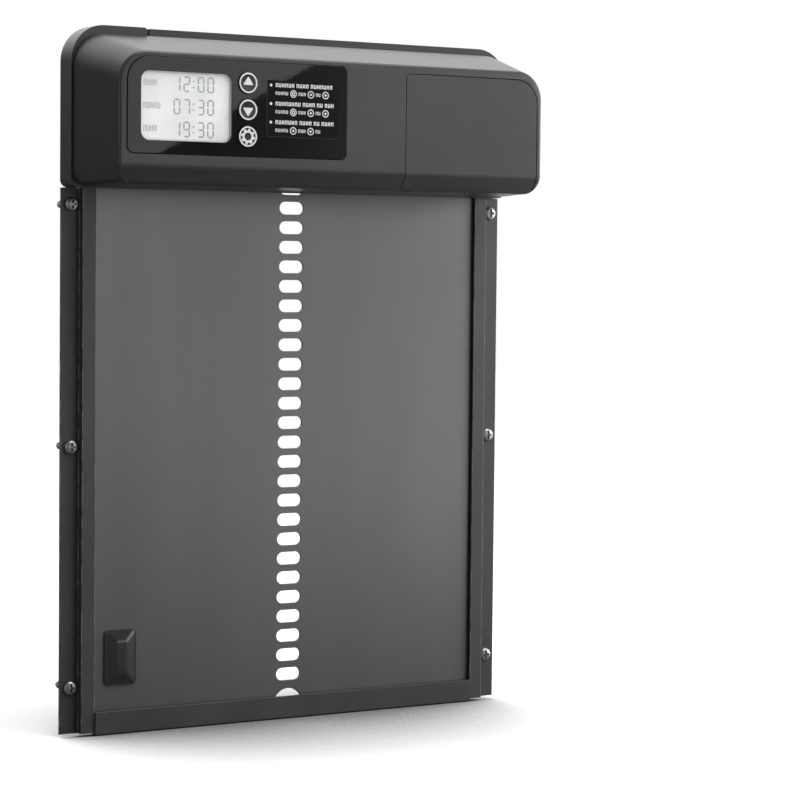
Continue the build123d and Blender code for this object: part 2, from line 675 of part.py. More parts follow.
parts["gearbox_case"] = gearbox_case
gearbox_cover = side_prism(case_points, (case_split, case_x[1]))
for axis in gear_axes:
    gearbox_cover += rod_x(*axis, axle_boss_r, (fine_x[1] + boss_gap, case_split))
    gearbox_cover -= rod_x(*axis, axle_r, (fine_x[0], axle_x[1]))
for y, z in box_screw_spots:
    gearbox_cover -= rod_x(y, z, 1.2, (case_split - run, case_x[1] + run))
parts["gearbox_cover"] = gearbox_cover
parts["gear_axles"] = Compound(children=[rod_x(*axis, axle_r, axle_x).solids()[0] for axis in gear_axes])
parts["shaft_bush"] = rod_x(*output, bush_r, (case_x[0], case_inside_x)) \
    - rod_x(*output, shaft_r + fit, (0, case_x[1]))


def side_screw(y, z, head, shank, seat, head_high, reach):
    """A round-head screw along X whose head bears on the plane x = seat."""
    return (rod_x(y, z, head, (seat, seat + head_high)) + rod_x(y, z, shank, (seat - reach, seat))).solids()[0]


parts["gearbox_screws"] = Compound(children=[
    side_screw(y, z, 2.0, 0.95, case_x[1], 1.4, 12) for y, z in box_screw_spots])
parts["motor_screws"] = Compound(children=[
    side_screw(y, z, 1.9, 1.0, case_inside_x, 0.7, 4) for y, z in motor_screw_spots])

# ---- fasteners ----
wall_head_r, wall_head_high = 3.7, 2.2
neck_r = 1.7              # a wall screw is necked where it passes the flange
thread_r = 2.1
tip_r = 0.5
thread_end, tip_length = 13.0, 3.2
recess_arm, recess_width = 2.0, 0.75


def cross_recess(x, z, top, depth):
    """The cross in a screw's head, cut from its top."""
    y = (top - run, top + depth)
    half = recess_width / 2
    return (block((x - recess_arm, x + recess_arm), y, (z - half, z + half))
            + block((x - half, x + half), y, (z - recess_arm, z + recess_arm)))


def wall_screw(x, z):
    """A pan-head screw through the flange, with a tapered point."""
    top = -sheet - wall_head_high
    head = rod_y(x, z, wall_head_r, (top, -sheet))
    head = fillet(head.edges().filter_by(GeomType.CIRCLE).sort_by(Axis.Y)[0], 1.2)
    shank = rod_y(x, z, neck_r, (-sheet, 0)) + rod_y(x, z, thread_r, (0, thread_end))
    point = Pos(x, thread_end + tip_length / 2, z) * Rot(-90, 0, 0) * Cone(thread_r, tip_r, tip_length)
    return (head + shank + point - cross_recess(x, z, top, 1.3)).solids()[0]


def casing_screw(x, z):
    """A flat-head screw from the wall side, through the rear shell into a post of the front shell."""
    head = rod_y(x, z, head_r, (-head_sink, -head_sink + head_rise))
    shank = rod_y(x, z, screw_r, (joint_y - post_length + 3, -head_sink))
    return (head + shank - cross_recess(x, z, -1, 2 * run)).solids()[0]


parts["wall_screws"] = Compound(children=[
    wall_screw(side * screw_x, z) for side in (-1, 1) for z in mount_zs])
parts["casing_screws"] = Compound(children=[casing_screw(x, z) for x, z in casing_screw_spots])

# ---- one STEP for each sub-part ----
os.makedirs("parts", exist_ok=True)
for name, solid in parts.items():
    export_step(solid, f"parts/{name}.step")
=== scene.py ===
"""Looks for the automatic coop door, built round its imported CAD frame.

Lengths here are millimetres in the CAD frame: X to the right, Y into the wall, Z up, with the origin
midway between the six wall screws. Meshes are scaled to metres as they are made.
"""
import math

import bmesh
import bpy
from mathutils import Matrix, Vector


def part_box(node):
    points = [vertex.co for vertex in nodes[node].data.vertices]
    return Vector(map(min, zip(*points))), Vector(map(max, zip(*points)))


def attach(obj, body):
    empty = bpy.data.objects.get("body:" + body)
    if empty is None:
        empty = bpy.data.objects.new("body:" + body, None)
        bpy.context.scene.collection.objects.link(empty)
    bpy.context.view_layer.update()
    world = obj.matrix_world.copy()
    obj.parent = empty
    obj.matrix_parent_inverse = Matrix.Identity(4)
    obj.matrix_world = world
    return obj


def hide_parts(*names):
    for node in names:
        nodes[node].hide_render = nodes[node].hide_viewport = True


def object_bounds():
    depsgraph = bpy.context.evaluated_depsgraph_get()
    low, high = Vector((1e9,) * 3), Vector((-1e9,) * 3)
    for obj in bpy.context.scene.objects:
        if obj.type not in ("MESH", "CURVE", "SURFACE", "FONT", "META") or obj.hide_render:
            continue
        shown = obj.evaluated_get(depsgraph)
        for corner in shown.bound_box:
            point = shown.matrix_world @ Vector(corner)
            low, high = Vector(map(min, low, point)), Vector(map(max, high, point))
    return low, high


MM = 0.001
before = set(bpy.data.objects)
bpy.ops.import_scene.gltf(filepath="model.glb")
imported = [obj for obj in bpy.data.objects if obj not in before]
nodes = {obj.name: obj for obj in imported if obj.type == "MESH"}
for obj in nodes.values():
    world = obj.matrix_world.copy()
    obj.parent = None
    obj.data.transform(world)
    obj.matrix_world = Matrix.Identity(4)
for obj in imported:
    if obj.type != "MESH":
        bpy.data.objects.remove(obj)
cad_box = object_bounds()


def span(node):
    """The lowest and highest corner of a CAD node, in millimetres."""
    low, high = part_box(node)
    return low / MM, high / MM


# ---------------------------------------------------------------- materials
class Finish:
    """A Principled material whose colour, roughness and relief come from nodes in object space."""

    def __init__(self, name, metallic=0.0, coat=0.0, coat_roughness=0.08, specular=0.5):
        self.material = bpy.data.materials.new(name)
        self.material.use_nodes = True
        self.tree = self.material.node_tree
        self.shader = self.tree.nodes["Principled BSDF"]
        self.shader.inputs["Metallic"].default_value = metallic
        self.shader.inputs["Coat Weight"].default_value = coat
        self.shader.inputs["Coat Roughness"].default_value = coat_roughness
        self.shader.inputs["Specular IOR Level"].default_value = specular
        self.place = self.add("ShaderNodeTexCoord").outputs["Object"]

    def add(self, kind, inputs=None, **settings):
        node = self.tree.nodes.new(kind)
        for key, value in settings.items():
            setattr(node, key, value)
        for key, value in (inputs or {}).items():
            self.feed(node.inputs[key], value)
        return node

    def feed(self, socket, value):
        if isinstance(value, bpy.types.NodeSocket):
            self.tree.links.new(value, socket)
        else:
            socket.default_value = value

    def noise(self, size, detail=2.0, stretch=(1, 1, 1)):
        """Noise whose features are about size across, longer along an axis with a stretch above 1."""
        scale = tuple(1 / s for s in stretch)
        moved = self.add("ShaderNodeMapping", {"Vector": self.place, "Scale": scale})
        texture = self.add("ShaderNodeTexNoise", {
            "Vector": moved.outputs["Vector"], "Scale": 1 / (size * MM), "Detail": detail})
        return texture.outputs["Fac"]

    def rescale(self, value, source, target):
        """The value carried from one (low, high) range to another, and held inside it."""
        node = self.add("ShaderNodeMapRange", {
            "Value": value, "From Min": source[0], "From Max": source[1],
            "To Min": target[0], "To Max": target[1]})
        return node.outputs["Result"]

    def blend(self, factor, first, second):
        """The first colour at factor 0 and the second at 1."""
        node = self.add("ShaderNodeMix", data_type="RGBA")
        for index, value in ((0, factor), (6, first), (7, second)):
            self.feed(node.inputs[index], value)
        return node.outputs[2]

    def times(self, first, second):
        node = self.add("ShaderNodeMath", operation="MULTIPLY")
        self.feed(node.inputs[0], first)
        self.feed(node.inputs[1], second)
        return node.outputs[0]

    def edges(self, radius):
        """1 along the sharp edges of a piece and 0 on its faces."""
        rounded = self.add("ShaderNodeBevel", {"Radius": radius * MM}, samples=4)
        straight = self.add("ShaderNodeNewGeometry")
        dot = self.add("ShaderNodeVectorMath", operation="DOT_PRODUCT")
        self.feed(dot.inputs[0], rounded.outputs["Normal"])
        self.feed(dot.inputs[1], straight.outputs["Normal"])
        return self.rescale(dot.outputs["Value"], (0.995, 0.86), (0, 1))

    def relief(self, height, depth, strength=1.0):
        bump = self.add("ShaderNodeBump", {"Height": height, "Distance": depth * MM, "Strength": strength})
        self.feed(self.shader.inputs["Normal"], bump.outputs["Normal"])

    def colour(self, value):
        self.feed(self.shader.inputs["Base Color"], value)

    def roughness(self, value):
        self.feed(self.shader.inputs["Roughness"], value)


broad_span = (0.35, 0.65)     # the values that most of a broad noise keeps to
fine_span = (0.3, 0.7)        # and most of a fine one


def grey(level, warm=0.0):
    """A grey, a little towards red where warm is above 0."""
    return (level * (1 + warm), level, level * (1 - warm), 1)


def surface(name, dark, light, rough, grain, cloud=35.0, wear_and_highlight=None, stretch=(1, 1, 1), **shader):
    """A moulded, coated or machined surface.

    dark and light are the colours that broad clouds drift between, rough the (low, high) roughness,
    grain the (size, depth) of the fine texture, and the last argument the (colour, radius) of rubbed
    edges;
    on the rails that pale edge colour is a painted highlight.
    """
    made = Finish(name, **shader)
    clouds = made.noise(cloud, 4.0, stretch)
    fine = made.noise(grain[0], 3.0, stretch)
    colour = made.blend(made.rescale(clouds, broad_span, (0, 1)), dark, light)
    roughness = made.rescale(fine, fine_span, rough)
    if wear_and_highlight:
        # edge colour: rubbed wear on most finishes, a painted highlight on the rails
        patches = made.rescale(made.noise(6.0, 5.0), (0.42, 0.6), (0.15, 1))
        wear_and_highlight_mask = made.times(made.edges(wear_and_highlight[1]), patches)
        colour = made.blend(wear_and_highlight_mask, colour, wear_and_highlight[0])
    made.colour(colour)
    made.roughness(roughness)
    made.relief(fine, grain[1])
    return made.material


def clear_window():
    """The display's window: nearly all see-through, with a gloss and a faint haze of fine scratches."""
    made = Finish("window_clear", specular=0.5)
    haze = made.noise(9.0, 6.0, (6, 1, 1))
    haze_span = (0.4, 0.7)
    made.colour(made.blend(made.rescale(haze, haze_span, (0, 1)), grey(0.86), grey(0.95)))
    made.roughness(made.rescale(haze, haze_span, (0.03, 0.12)))
    made.shader.inputs["Alpha"].default_value = 0.12
    return made.material


def display_painted_glow():
    """The pale reflective ground of the display, a little uneven towards its rim, with a painted glow."""
    made = Finish("lcd_grey", specular=0.2)
    clouds = made.noise(14.0, 2.0)
    tint = made.blend(made.rescale(clouds, broad_span, (0, 1)),
                      (0.70, 0.72, 0.70, 1), (0.80, 0.81, 0.79, 1))
    made.colour(tint)
    # painted glow: the display emits light though it is no lamp
    made.feed(made.shader.inputs["Emission Color"], tint)
    made.shader.inputs["Emission Strength"].default_value = 0.30
    made.roughness(made.rescale(made.noise(0.4), fine_span, (0.5, 0.65)))
    return made.material


def cell_jacket():
    """A cell's printed sleeve: dark, with a metallic band towards its button end."""
    made = Finish("cell_jacket", metallic=0.6)
    height = made.add("ShaderNodeSeparateXYZ", {"Vector": made.place}).outputs["Z"]
    band = made.rescale(height, (0.1815, 0.1820), (0, 1))
    made.colour(made.blend(band, grey(0.02), (0.42, 0.20, 0.07, 1)))
    made.roughness(made.rescale(made.noise(3.0), fine_span, (0.22, 0.36)))
    made.relief(made.noise(0.6), 0.02)
    return made.material


slots = {
    "black_powder_coat": surface("black_powder_coat", grey(0.034), grey(0.044), (0.38, 0.52), (0.5, 0.030),
                                 wear_and_highlight=(grey(0.10), 0.35)),
    "door_grey": surface("door_grey", grey(0.150), grey(0.172), (0.28, 0.38), (0.5, 0.012), metallic=0.75,
                         cloud=60.0, wear_and_highlight=(grey(0.35), 0.3), stretch=(1, 1, 5)),
    "casing_black": surface("casing_black", grey(0.030), grey(0.036), (0.34, 0.44), (0.35, 0.010),
                            wear_and_highlight=(grey(0.07), 0.4)),
    "panel_gloss": surface("panel_gloss", grey(0.006), grey(0.008), (0.012, 0.028), (2.0, 0.001),
                           specular=0.34),
    "grip_gloss": surface("grip_gloss", grey(0.022), grey(0.028), (0.16, 0.22), (0.6, 0.005), coat=0.5,
                          wear_and_highlight=(grey(0.03), 0.3)),
    "button_plastic": surface("button_plastic", grey(0.008), grey(0.013), (0.16, 0.26), (0.4, 0.008)),
    "label_print": surface("label_print", grey(0.0010), grey(0.0018), (0.5, 0.6), (0.5, 0.006),
                           specular=0.1),
    "window_clear": clear_window(),
    "lcd_grey": display_painted_glow(),
    "inner_plastic": surface("inner_plastic", grey(0.030), grey(0.045), (0.42, 0.55), (0.5, 0.02)),
    "board_green": surface("board_green", (0.010, 0.070, 0.030, 1), (0.016, 0.095, 0.040, 1),
                           (0.25, 0.4), (1.2, 0.02), cloud=4.0),
    "chip_black": surface("chip_black", grey(0.012), grey(0.020), (0.4, 0.55), (0.3, 0.02)),
    "cell_jacket": cell_jacket(),
    "contact_nickel": surface("contact_nickel", grey(0.55, 0.03), grey(0.66, 0.03), (0.18, 0.32),
                              (0.7, 0.01), metallic=1.0),
    "steel_zinc": surface("steel_zinc", grey(0.30), grey(0.40, -0.02), (0.34, 0.46), (0.6, 0.012),
                          cloud=3.0, metallic=1.0),
    "motor_steel": surface("motor_steel", grey(0.42), grey(0.55), (0.24, 0.36), (0.5, 0.01),
                           stretch=(30, 1, 1), metallic=1.0),
    "gear_acetal": surface("gear_acetal", grey(0.62, 0.03), grey(0.74, 0.03), (0.30, 0.42), (0.7, 0.01)),
    "gear_brass": surface("gear_brass", (0.60, 0.42, 0.14, 1), (0.72, 0.52, 0.20, 1), (0.22, 0.34),
                          (0.5, 0.01), metallic=1.0),
    "gearbox_plastic": surface("gearbox_plastic", grey(0.10), grey(0.14), (0.38, 0.5), (0.5, 0.02)),
    "seal_rubber": surface("seal_rubber", grey(0.012), grey(0.022), (0.6, 0.75), (0.4, 0.03)),
}
white_print = surface("white_print", grey(0.80), grey(0.88), (0.35, 0.5), (0.4, 0.006))
segment_ink = surface("segment_ink", grey(0.42), grey(0.48), (0.4, 0.5), (0.5, 0.004))
# painted highlight: the rails' pale edge colour stands in for light caught along their edges
rail_coat_painted_highlight = surface("rail_coat_painted_highlight", grey(0.034), grey(0.044), (0.38, 0.52), (0.5, 0.030),
                    wear_and_highlight=(grey(0.62), 0.6))
rim_white = surface("rim_white", grey(0.78), grey(0.86), (0.3, 0.4), (0.5, 0.006))


# ---------------------------------------------------------------- mesh makers
def arc(centre, radius, start, end, steps=8):
    """Points (x, z) along an arc between two angles in degrees."""
    turns = [math.radians(start + (end - start) * i / steps) for i in range(steps + 1)]
    return [(centre[0] + radius * math.cos(t), centre[1] + radius * math.sin(t)) for t in turns]


def rounded(low, high, radii, steps=8):
    """A rectangle between two corners (x, z), with radii (top left, top right, low right, low left)."""
    top_left, top_right, low_right, low_left = (max(r, 0.01) for r in radii)
    return (arc((low[0] + low_left, low[1] + low_left), low_left, 180, 270, steps)
            + arc((high[0] - low_right, low[1] + low_right), low_right, 270, 360, steps)
            + arc((high[0] - top_right, high[1] - top_right), top_right, 0, 90, steps)
            + arc((low[0] + top_left, high[1] - top_left), top_left, 90, 180, steps))


def disc(centre, radius, steps=32):
    return arc(centre, radius, 0, 360, steps)[:-1]


def prism(bm, loops, near, deep):
    """Adds a plate between two depths; the first loop is its outline and the others are holes."""
    edges = []
    for loop in loops:
        corners = [bm.verts.new((x, deep, z)) for x, z in loop]
        for number, corner in enumerate(corners):
            edges.append(bm.edges.new((corner, corners[(number + 1) % len(corners)])))
    made = bmesh.ops.triangle_fill(bm, use_beauty=True, edges=edges)
    faces = [item for item in made["geom"] if isinstance(item, bmesh.types.BMFace)]
    raised = bmesh.ops.extrude_face_region(bm, geom=faces, use_keep_orig=True)
    moved = [item for item in raised["geom"] if isinstance(item, bmesh.types.BMVert)]
    bmesh.ops.translate(bm, verts=moved, vec=(0, near - deep, 0))


def lathe(bm, profile, centre, steps=48):
    """Adds a turned piece about an axis along Y; profile is (radius, y) from one end to the other."""
    rings = []
    for radius, y in profile:
        if radius < 1e-6:
            rings.append([bm.verts.new((centre[0], y, centre[1]))])
        else:
            rings.append([bm.verts.new((x, y, z)) for x, z in disc(centre, radius, steps)])
    for near, far in zip(rings, rings[1:]):
        for number in range(steps):
            after = (number + 1) % steps
            corners = [near[number % len(near)], near[after % len(near)],
                       far[after % len(far)], far[number % len(far)]]
            unique = list(dict.fromkeys(corners))
            bm.faces.new(unique)


def bevel(obj, width, segments=2, angle=30, clamp=False):
    """Rounds a piece's sharp edges, keeping its flat faces flat; clamp holds back where it is tight."""
    tool = obj.modifiers.new("edge_round", "BEVEL")
    tool.width = width * MM
    tool.segments = segments
    tool.limit_method = "ANGLE"
    tool.angle_limit = math.radians(angle)
    tool.use_clamp_overlap = clamp
    tool.loop_slide = False
    tool.harden_normals = True


def piece(name, bm, material, body, stands_for=(), edge=0.0, segments=2):
    """Turns a bmesh in millimetres into a piece that rides on a CAD body."""
    bmesh.ops.recalc_face_normals(bm, faces=bm.faces)
    mesh = bpy.data.meshes.new(name)
    bm.to_mesh(mesh)
    bm.free()
    mesh.transform(Matrix.Scale(MM, 4))
    mesh.materials.append(material)
    mesh.shade_smooth()
    obj = bpy.data.objects.new(name, mesh)
    bpy.context.scene.collection.objects.link(obj)
    if edge:
        bevel(obj, edge, segments)
    else:
        mesh.set_sharp_from_angle(angle=math.radians(35))
    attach(obj, body)
    if stands_for:
        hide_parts(*stands_for)
    return obj


def carve(obj, tools):
    """Cuts closed tool meshes, given as a bmesh in millimetres, out of a piece."""
    bmesh.ops.recalc_face_normals(tools, faces=tools.faces)
    mesh = bpy.data.meshes.new(obj.name + "_cut")
    tools.to_mesh(mesh)
    tools.free()
    mesh.transform(Matrix.Scale(MM, 4))
    cutter = bpy.data.objects.new(obj.name + "_cut", mesh)
    bpy.context.scene.collection.objects.link(cutter)
    cut = obj.modifiers.new("cut", "BOOLEAN")
    cut.operation = "DIFFERENCE"
    cut.solver = "EXACT"
    cut.object = cutter
    others = [m for m in obj.modifiers if m != cut]
    shown = [m.show_viewport for m in others]
    for m in others:
        m.show_viewport = False
    bpy.context.view_layer.update()
    result = bpy.data.meshes.new_from_object(obj.evaluated_get(bpy.context.evaluated_depsgraph_get()))
    obj.modifiers.remove(cut)
    for m, state in zip(others, shown):
        m.show_viewport = state
    obj.data = result
    bpy.data.objects.remove(cutter)


# ---------------------------------------------------------------- door
def slot_loop(centre, width, height, steps=10):
    """A slot with half-round ends."""
    half = width / 2 - height / 2
    return (arc((centre[0] + half, centre[1]), height / 2, -90, 90, steps)
            + arc((centre[0] - half, centre[1]), height / 2, 90, 270, steps))


rack_pitch = 10.54
rack_count = 30
slot_width, slot_height = 14.8, 6.8
rack_offset = 16.95       # from the door's foot to the middle of the lowest slot
notch_radius = 9.0


def build_door():
    low, high = span("door_panel")
    half, foot, top = high.x, low.z, high.z
    rim = (arc((-half + 2, foot + 2), 2, 180, 270) + arc((0, foot), notch_radius, 180, 0, 24)
           + arc((half - 2, foot + 2), 2, 270, 360) + arc((half - 5, top - 5), 5, 0, 90)
           + arc((-half + 5, top - 5), 5, 90, 180))
    loops = [rim]
    for number in range(rack_count):
        loops.append(slot_loop((0, foot + rack_offset + number * rack_pitch), slot_width, slot_height))
    bm = bmesh.new()
    prism(bm, loops, low.y, high.y)
    piece("door_sheet", bm, slots["door_grey"], "door", ("door_panel",), edge=0.22)


def soft_min(a, b, blend):
    """The lower of two heights, rounded where they cross."""
    mix = max(blend - abs(a - b), 0) / blend
    return min(a, b) - mix * mix * blend / 4


grip_base = 1.0
grip_margin = 0.8         # how far the hipped part stands in from the base's edge
grip_bevel = 5.5          # the width of its sloping faces
rivet_spread = 9.0        # from the grip's middle to each rivet


def build_grip(node):
    """A low hipped pull on a thin base, riveted through the door."""
    low, high = span(node)
    back = span("door_panel")[0].y
    base_front = back - grip_base
    rise = base_front - low.y
    middle = (low + high) / 2
    half_x, half_z = (high.x - low.x) / 2, (high.z - low.z) / 2
    foot_x, foot_z, slope = half_x - grip_margin, half_z - grip_margin, rise / grip_bevel
    bm = bmesh.new()
    prism(bm, [rounded((low.x, low.z), (high.x, high.z), (3, 3, 3, 3))], base_front, back)
    columns, rows = 48, 80
    grid = []
    for row in range(rows + 1):
        z = -foot_z + 2 * foot_z * row / rows
        line = []
        for column in range(columns + 1):
            x = -foot_x + 2 * foot_x * column / columns
            hip = soft_min((foot_x - abs(x)) * slope, (foot_z - abs(z)) * slope, 0.5)
            height = max(soft_min(hip, rise, 0.35), 0)
            line.append(bm.verts.new((middle.x + x, base_front - height - 0.02, middle.z + z)))
        grid.append(line)
    for lower, upper in zip(grid, grid[1:]):
        for column in range(columns):
            bm.faces.new((lower[column], lower[column + 1], upper[column + 1], upper[column]))
    rim = (grid[0] + [line[-1] for line in grid[1:]]
           + grid[-1][-2::-1] + [line[0] for line in grid[-2:0:-1]])
    under = [bm.verts.new((v.co.x, base_front + 0.3, v.co.z)) for v in rim]
    for number in range(len(rim)):
        after = (number + 1) % len(rim)
        bm.faces.new((rim[number], rim[after], under[after], under[number]))
    bm.faces.new(under)
    for side in (-rivet_spread, rivet_spread):
        lathe(bm, [(0, back + 0.4), (1.4, back + 0.4), (1.5, high.y - 0.2), (1.3, high.y), (0, high.y)],
              (middle.x, middle.z + side), 24)
    made = piece(node + "_pull", bm, slots["grip_gloss"], "door", (node,))
    made.data.set_sharp_from_angle(angle=math.radians(50))


# ---------------------------------------------------------------- control panel
panel_radii = (12, 3.5, 3.5, 3.5)
window_radius = 4.5
window_gap = 0.1
button_hole = 5.65


def build_panel():
    low, high = span("control_panel")
    window_low, window_high = span("display_window")
    label_low, label_high = span("instruction_label")
    bm = bmesh.new()
    gap = window_gap
    holes = [rounded((window_low.x - gap, window_low.z - gap), (window_high.x + gap, window_high.z + gap),
                     (window_radius,) * 4)]
    for node in ("up_button", "down_button", "set_button"):
        button_low, button_high = span(node)
        middle = (button_low + button_high) / 2
        holes.append(disc((middle.x, middle.z), button_hole, 64))
    outline = rounded((low.x, low.z), (high.x, high.z), panel_radii, 12)
    prism(bm, [outline, *holes], low.y, high.y)
    panel = piece("panel_face", bm, slots["panel_gloss"], "frame", ("control_panel",),
                  edge=0.18)
    pocket = bmesh.new()
    prism(pocket, [rounded((label_low.x, label_low.z), (label_high.x, label_high.z), (0.8,) * 4)],
          low.y - 1, label_high.y)
    carve(panel, pocket)


def ring(bm, centre, outer, inner, near, deep, steps=48):
    prism(bm, [disc(centre, outer, steps), disc(centre, inner, steps)], near, deep)


def gear_loop(centre, root, tip, teeth):
    """A cog outline with broad square teeth."""
    points = []
    pitch = 360 / teeth
    for number in range(teeth):
        start = number * pitch
        points += arc(centre, root, start, start + 0.42 * pitch, 3)
        points += arc(centre, tip, start + 0.54 * pitch, start + 0.88 * pitch, 3)
    return points


def triangle(centre, size, up):
    """A triangle that points up or down, its corners blunted."""
    turn = 90 if up else -90
    points = []
    for number in range(3):
        angle = turn + 120 * number
        inner = (centre[0] + 0.86 * size * math.cos(math.radians(angle)),
                 centre[1] + 0.86 * size * math.sin(math.radians(angle)))
        points += arc(inner, size * 0.14, angle - 60, angle + 60, 4)
    return [(x, centre[1] + 0.85 * (z - centre[1])) for x, z in points]


# a cap from the middle of its dished crown to the root of its stem, as (radius, depth below the crown)
button_profile = ((0, 0.2), (3.0, 0.16), (4.4, 0.04), (5.1, 0.03), (5.35, 0.12), (5.47, 0.3), (5.5, 0.6),
                  (5.5, 2.45), (6.4, 2.45), (6.4, 3.5), (2.0, 3.6))


def build_button(node, key, icon):
    """A button's cap and the white ring and sign printed on it."""
    low, high = span(node)
    centre = ((low.x + high.x) / 2, (low.z + high.z) / 2)
    crown = low.y
    bm = bmesh.new()
    cap_profile = [(radius, crown + depth) for radius, depth in button_profile]
    lathe(bm, cap_profile + [(2.0, high.y), (0, high.y)], centre, 72)
    cap = piece(node + "_cap", bm, slots["button_plastic"], key, (node,))
    cap.data.set_sharp_from_angle(angle=math.radians(60))
    marks = bmesh.new()
    ring(marks, centre, 5.2, 4.4, crown, crown + 0.3, 64)
    deep, near = crown + 0.3, crown + 0.04
    if icon == "cog":
        prism(marks, [gear_loop(centre, 3.15, 4.15, 8), disc(centre, 2.0, 24)], near, deep)
    else:
        shift = 0.45 if icon == "up" else -0.45
        prism(marks, [triangle((centre[0], centre[1] + shift), 3.1, icon == "up")], near, deep)
    piece(node + "_print", marks, white_print, key, edge=0.03, segments=1)


segment_names = {"0": "abcdef", "1": "bc", "2": "abdeg", "3": "abcdg", "7": "abc", "9": "abcdfg"}


def segment(bm, start, end, width, near, deep):
    """A seven-segment bar with pointed ends."""
    along = (Vector(end) - Vector(start)).normalized()
    across = Vector((-along.y, along.x)) * width / 2
    tip = along * width / 2
    a, b = Vector(start) + along * 0.12, Vector(end) - along * 0.12
    points = [a, a + tip - across, b - tip - across, b, b - tip + across, a + tip + across]
    prism(bm, [[tuple(p) for p in points]], near, deep)


def digit(bm, character, corner, width, height, near, deep):
    """One seven-segment numeral; corner is its low left."""
    x0, z0 = corner
    x1, z1, zm = x0 + width, z0 + height, z0 + height / 2
    ends = {"a": ((x0, z1), (x1, z1)), "b": ((x1, zm), (x1, z1)), "c": ((x1, z0), (x1, zm)),
            "d": ((x0, z0), (x1, z0)), "e": ((x0, z0), (x0, zm)), "f": ((x0, zm), (x0, z1)),
            "g": ((x0, zm), (x1, zm))}
    for name in segment_names[character]:
        segment(bm, *ends[name], 0.85, near, deep)


def glyphs(bm, count, x, z, height, width, stroke, near, deep):
    """A row of made-up letters: two uprights and a bar, high, low or midway. Returns where it ends."""
    for number in range(count):
        level = (height - stroke, 0, (height - stroke) / 2)[number % 3]
        bars = (((x, z), (x + stroke, z + height)), ((x + width - stroke, z), (x + width, z + height)),
                ((x + stroke, z + level), (x + width - stroke, z + level + stroke)))
        for start, end in bars:
            prism(bm, [[start, (end[0], start[1]), end, (start[0], end[1])]], near, deep)
        x += width + 0.45
    return x


def build_display():
    """Three rows of numerals with made-up words beside them, and the display's white border."""
    low, high = span("display_window")
    face = span("lcd_module")[0].y
    near, deep = face - 0.08, face + 0.02
    width, height = high.x - low.x, high.z - low.z
    rows = ("12:00", "07:30", "19:30")
    numeral_w, numeral_h, step = 3.1, 7.2, 5.5
    marks = bmesh.new()
    for line, text in enumerate(rows):
        x = low.x + 0.374 * width
        z = high.z - 0.170 * height - 0.330 * line * height - numeral_h / 2
        for character in text:
            if character == ":":
                for rise in (0.3, 0.7):
                    prism(marks, [disc((x - 0.1, z + rise * numeral_h), 0.5, 12)], near, deep)
                x += 2.6
            else:
                digit(marks, character, (x, z), numeral_w, numeral_h, near, deep)
                x += step
        glyphs(marks, 4 + line % 2, low.x + 1.9, z + 2.2, 3.0, 1.5, 0.42, near, deep)
    piece("display_digits", marks, segment_ink, "frame")
    border = bmesh.new()
    prism(border, [rounded((low.x + 0.05, low.z + 0.05), (high.x - 0.05, high.z - 0.05), (4.4,) * 4),
                   rounded((low.x + 0.8, low.z + 0.8), (high.x - 0.8, high.z - 0.8), (3.8,) * 4)],
          face - 0.16, face)
    piece("display_border", border, rim_white, "frame", edge=0.03, segments=1)


def build_label():
    """Three groups of made-up marks: a dotted heading above a line of words and button signs."""
    low, high = span("instruction_label")
    near, deep = low.y - 0.03, low.y + 0.06
    marks = bmesh.new()
    headings = ((6, 4, 7), (8, 4, 2, 3), (7, 4, 2, 4))
    for group, words in enumerate(headings):
        z = high.z - 3.2 - group * 9.5
        prism(marks, [disc((low.x + 2.1, z + 0.9), 0.75, 20)], near, deep)
        x = low.x + 4.8
        for letters in words:
            x = glyphs(marks, letters, x, z, 2.0, 1.45, 0.5, near, deep) + 0.9
        z -= 4.0
        x = glyphs(marks, 5, low.x + 4.8, z, 1.7, 1.1, 0.34, near, deep) + 0.9
        icons = 2 if group == 2 else 3
        for number in range(icons):
            centre = (x + 1.9, z + 0.85)
            ring(marks, centre, 1.95, 1.45, near, deep, 28)
            if number == 0 and icons == 3:
                ring(marks, centre, 1.05, 0.5, near, deep, 12)
            else:
                prism(marks, [triangle(centre, 0.95, number == icons - 2)], near, deep)
            x += 4.9
            if number + 1 < icons or group == 2:
                x = glyphs(marks, 3 if number == 0 else 2, x, z, 1.7, 1.1, 0.34, near, deep) + 0.8
    piece("label_marks", marks, white_print, "frame")


# ---------------------------------------------------------------- fasteners
def cross_tool(bm, centre, top, depth, arm, width):
    """A tapered cross, as a driver leaves in a screw's head."""
    long, short = arm / 2, width / 2
    corners = [(long, -short), (long, short), (short, short),
               (short, long), (-short, long), (-short, short)]
    outline = corners + [(-x, -z) for x, z in corners]
    near, far = ([bm.verts.new((centre[0] + x * shrink, y, centre[1] + z * shrink)) for x, z in outline]
                 for y, shrink in ((top - 0.6, 1.12), (top + depth, 0.6)))
    bm.faces.new(near)
    bm.faces.new(far[::-1])
    for number in range(len(outline)):
        after = (number + 1) % len(outline)
        bm.faces.new((near[number], far[number], far[after], near[after]))


def threaded(bm, centre, start, end, core, crest, pitch, taper, steps=28):
    """Adds a screw's threaded shank along Y, which narrows over its last stretch to a point."""
    rows = int((end - start) / pitch * 8)
    lines = []
    for row in range(rows + 1):
        y = start + (end - start) * row / rows
        narrowing = min(1.0, (end - y) / taper + 0.12)
        line = []
        for number in range(steps):
            turn = 2 * math.pi * number / steps
            phase = ((y - start) / pitch - number / steps) % 1.0
            ridge = max(0.0, 1 - abs(phase - 0.5) / 0.22)
            radius = (core + (crest - core) * ridge) * narrowing
            x, z = centre[0] + radius * math.cos(turn), centre[1] + radius * math.sin(turn)
            line.append(bm.verts.new((x, y, z)))
        lines.append(line)
    for near, far in zip(lines, lines[1:]):
        for number in range(steps):
            after = (number + 1) % steps
            bm.faces.new((near[number], near[after], far[after], far[number]))
    bm.faces.new(lines[0])
    bm.faces.new(lines[-1])


screw_head_radius = 3.7
rail_sheet = 1.2


